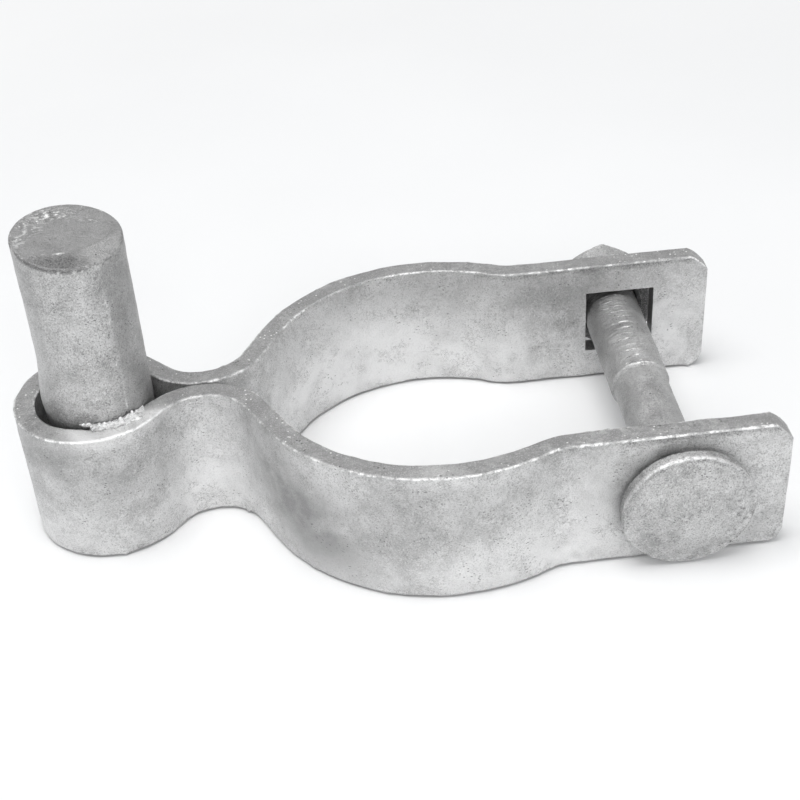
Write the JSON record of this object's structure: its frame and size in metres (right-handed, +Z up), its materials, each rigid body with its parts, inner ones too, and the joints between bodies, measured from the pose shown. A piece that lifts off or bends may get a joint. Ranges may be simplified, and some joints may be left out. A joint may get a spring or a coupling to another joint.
{
  "type": "chain link gate hinge",
  "caption": "Post-side gate hinge: a galvanised strap folded round an upright pin, shaped to grip a round post and closed by a carriage bolt and nut.",
  "frame": {"origin": "on the axis of the round post that the strap grips, at the strap's lower edge", "axes": "+Z up along the post and the pin, +X from the post towards the bolt, the pin on the -X side, the bolt's head on the -Y side"},
  "size_m": [0.1133, 0.0673, 0.0508],
  "materials": {
    "strap_zinc": "hot-dip galvanised, mottled pale grey",
    "pin_zinc": "hot-dip galvanised, sheared end",
    "weld_zinc": "bright lumpy weld under zinc",
    "bolt_zinc": "hot-dip galvanised, thread partly filled",
    "nut_zinc": "hot-dip galvanised, duller grey"
  },
  "bodies": {
    "hinge": {"post_strap": "strap_zinc", "pintle_pin": "pin_zinc", "pin_weld": "weld_zinc"},
    "bolt": {"carriage_bolt": "bolt_zinc"},
    "nut": {"hex_nut": "nut_zinc"}
  },
  "joints": [
    {"name": "nut_turn", "type": "hinge", "parent": "hinge", "child": "nut", "pos_m": [0.03332, 0.02979, 0.01157], "axis": [0, 0.9997, 0.0262], "range_deg": [0, 2520]},
    {"name": "bolt_slide", "type": "slide", "parent": "hinge", "child": "bolt", "axis": [0, -0.9997, -0.0262], "range_m": [0, 0.0112]}
  ],
  "couplings": [
    {"joint": "bolt_slide", "follows": "nut_turn", "m_per_rad": 0.00025266}
  ]
}
